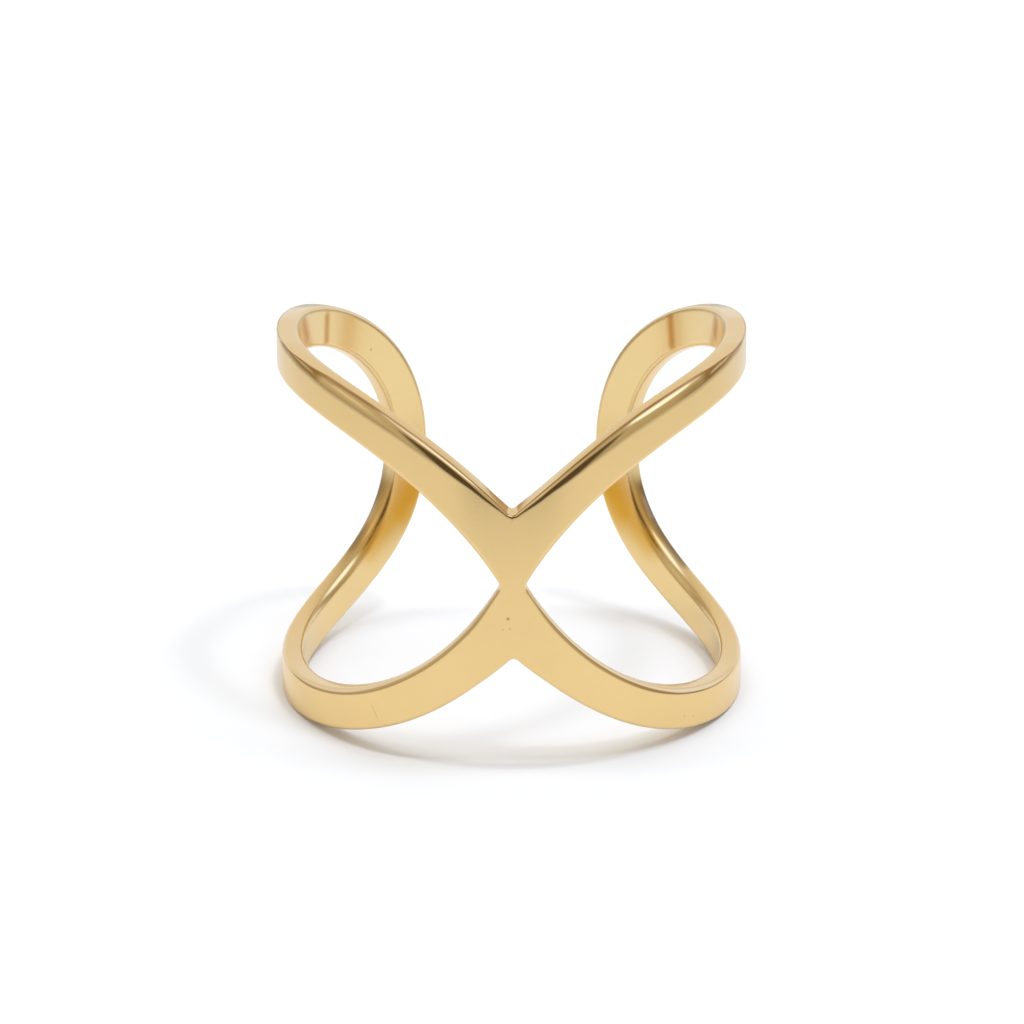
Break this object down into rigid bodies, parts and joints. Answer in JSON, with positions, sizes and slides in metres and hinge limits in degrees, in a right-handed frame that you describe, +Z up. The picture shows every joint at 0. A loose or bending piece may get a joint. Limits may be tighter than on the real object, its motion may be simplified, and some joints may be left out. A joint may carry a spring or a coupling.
{
  "type": "crossover ring",
  "caption": "Open finger ring whose band crosses in an X at the front and loops into a rounded wing on each side, with a gap at the back.",
  "frame": {"origin": "on the finger hole's axis, at the height of the lower rims that the ring rests on", "axes": "+Z up along the finger hole, -Y towards the crossing at the front, +Y towards the gap at the back"},
  "size_m": [0.019, 0.0181, 0.0156],
  "materials": {
    "gold": "satin polished yellow gold plate"
  },
  "bodies": {
    "root": {"ring": "gold"}
  },
  "joints": []
}
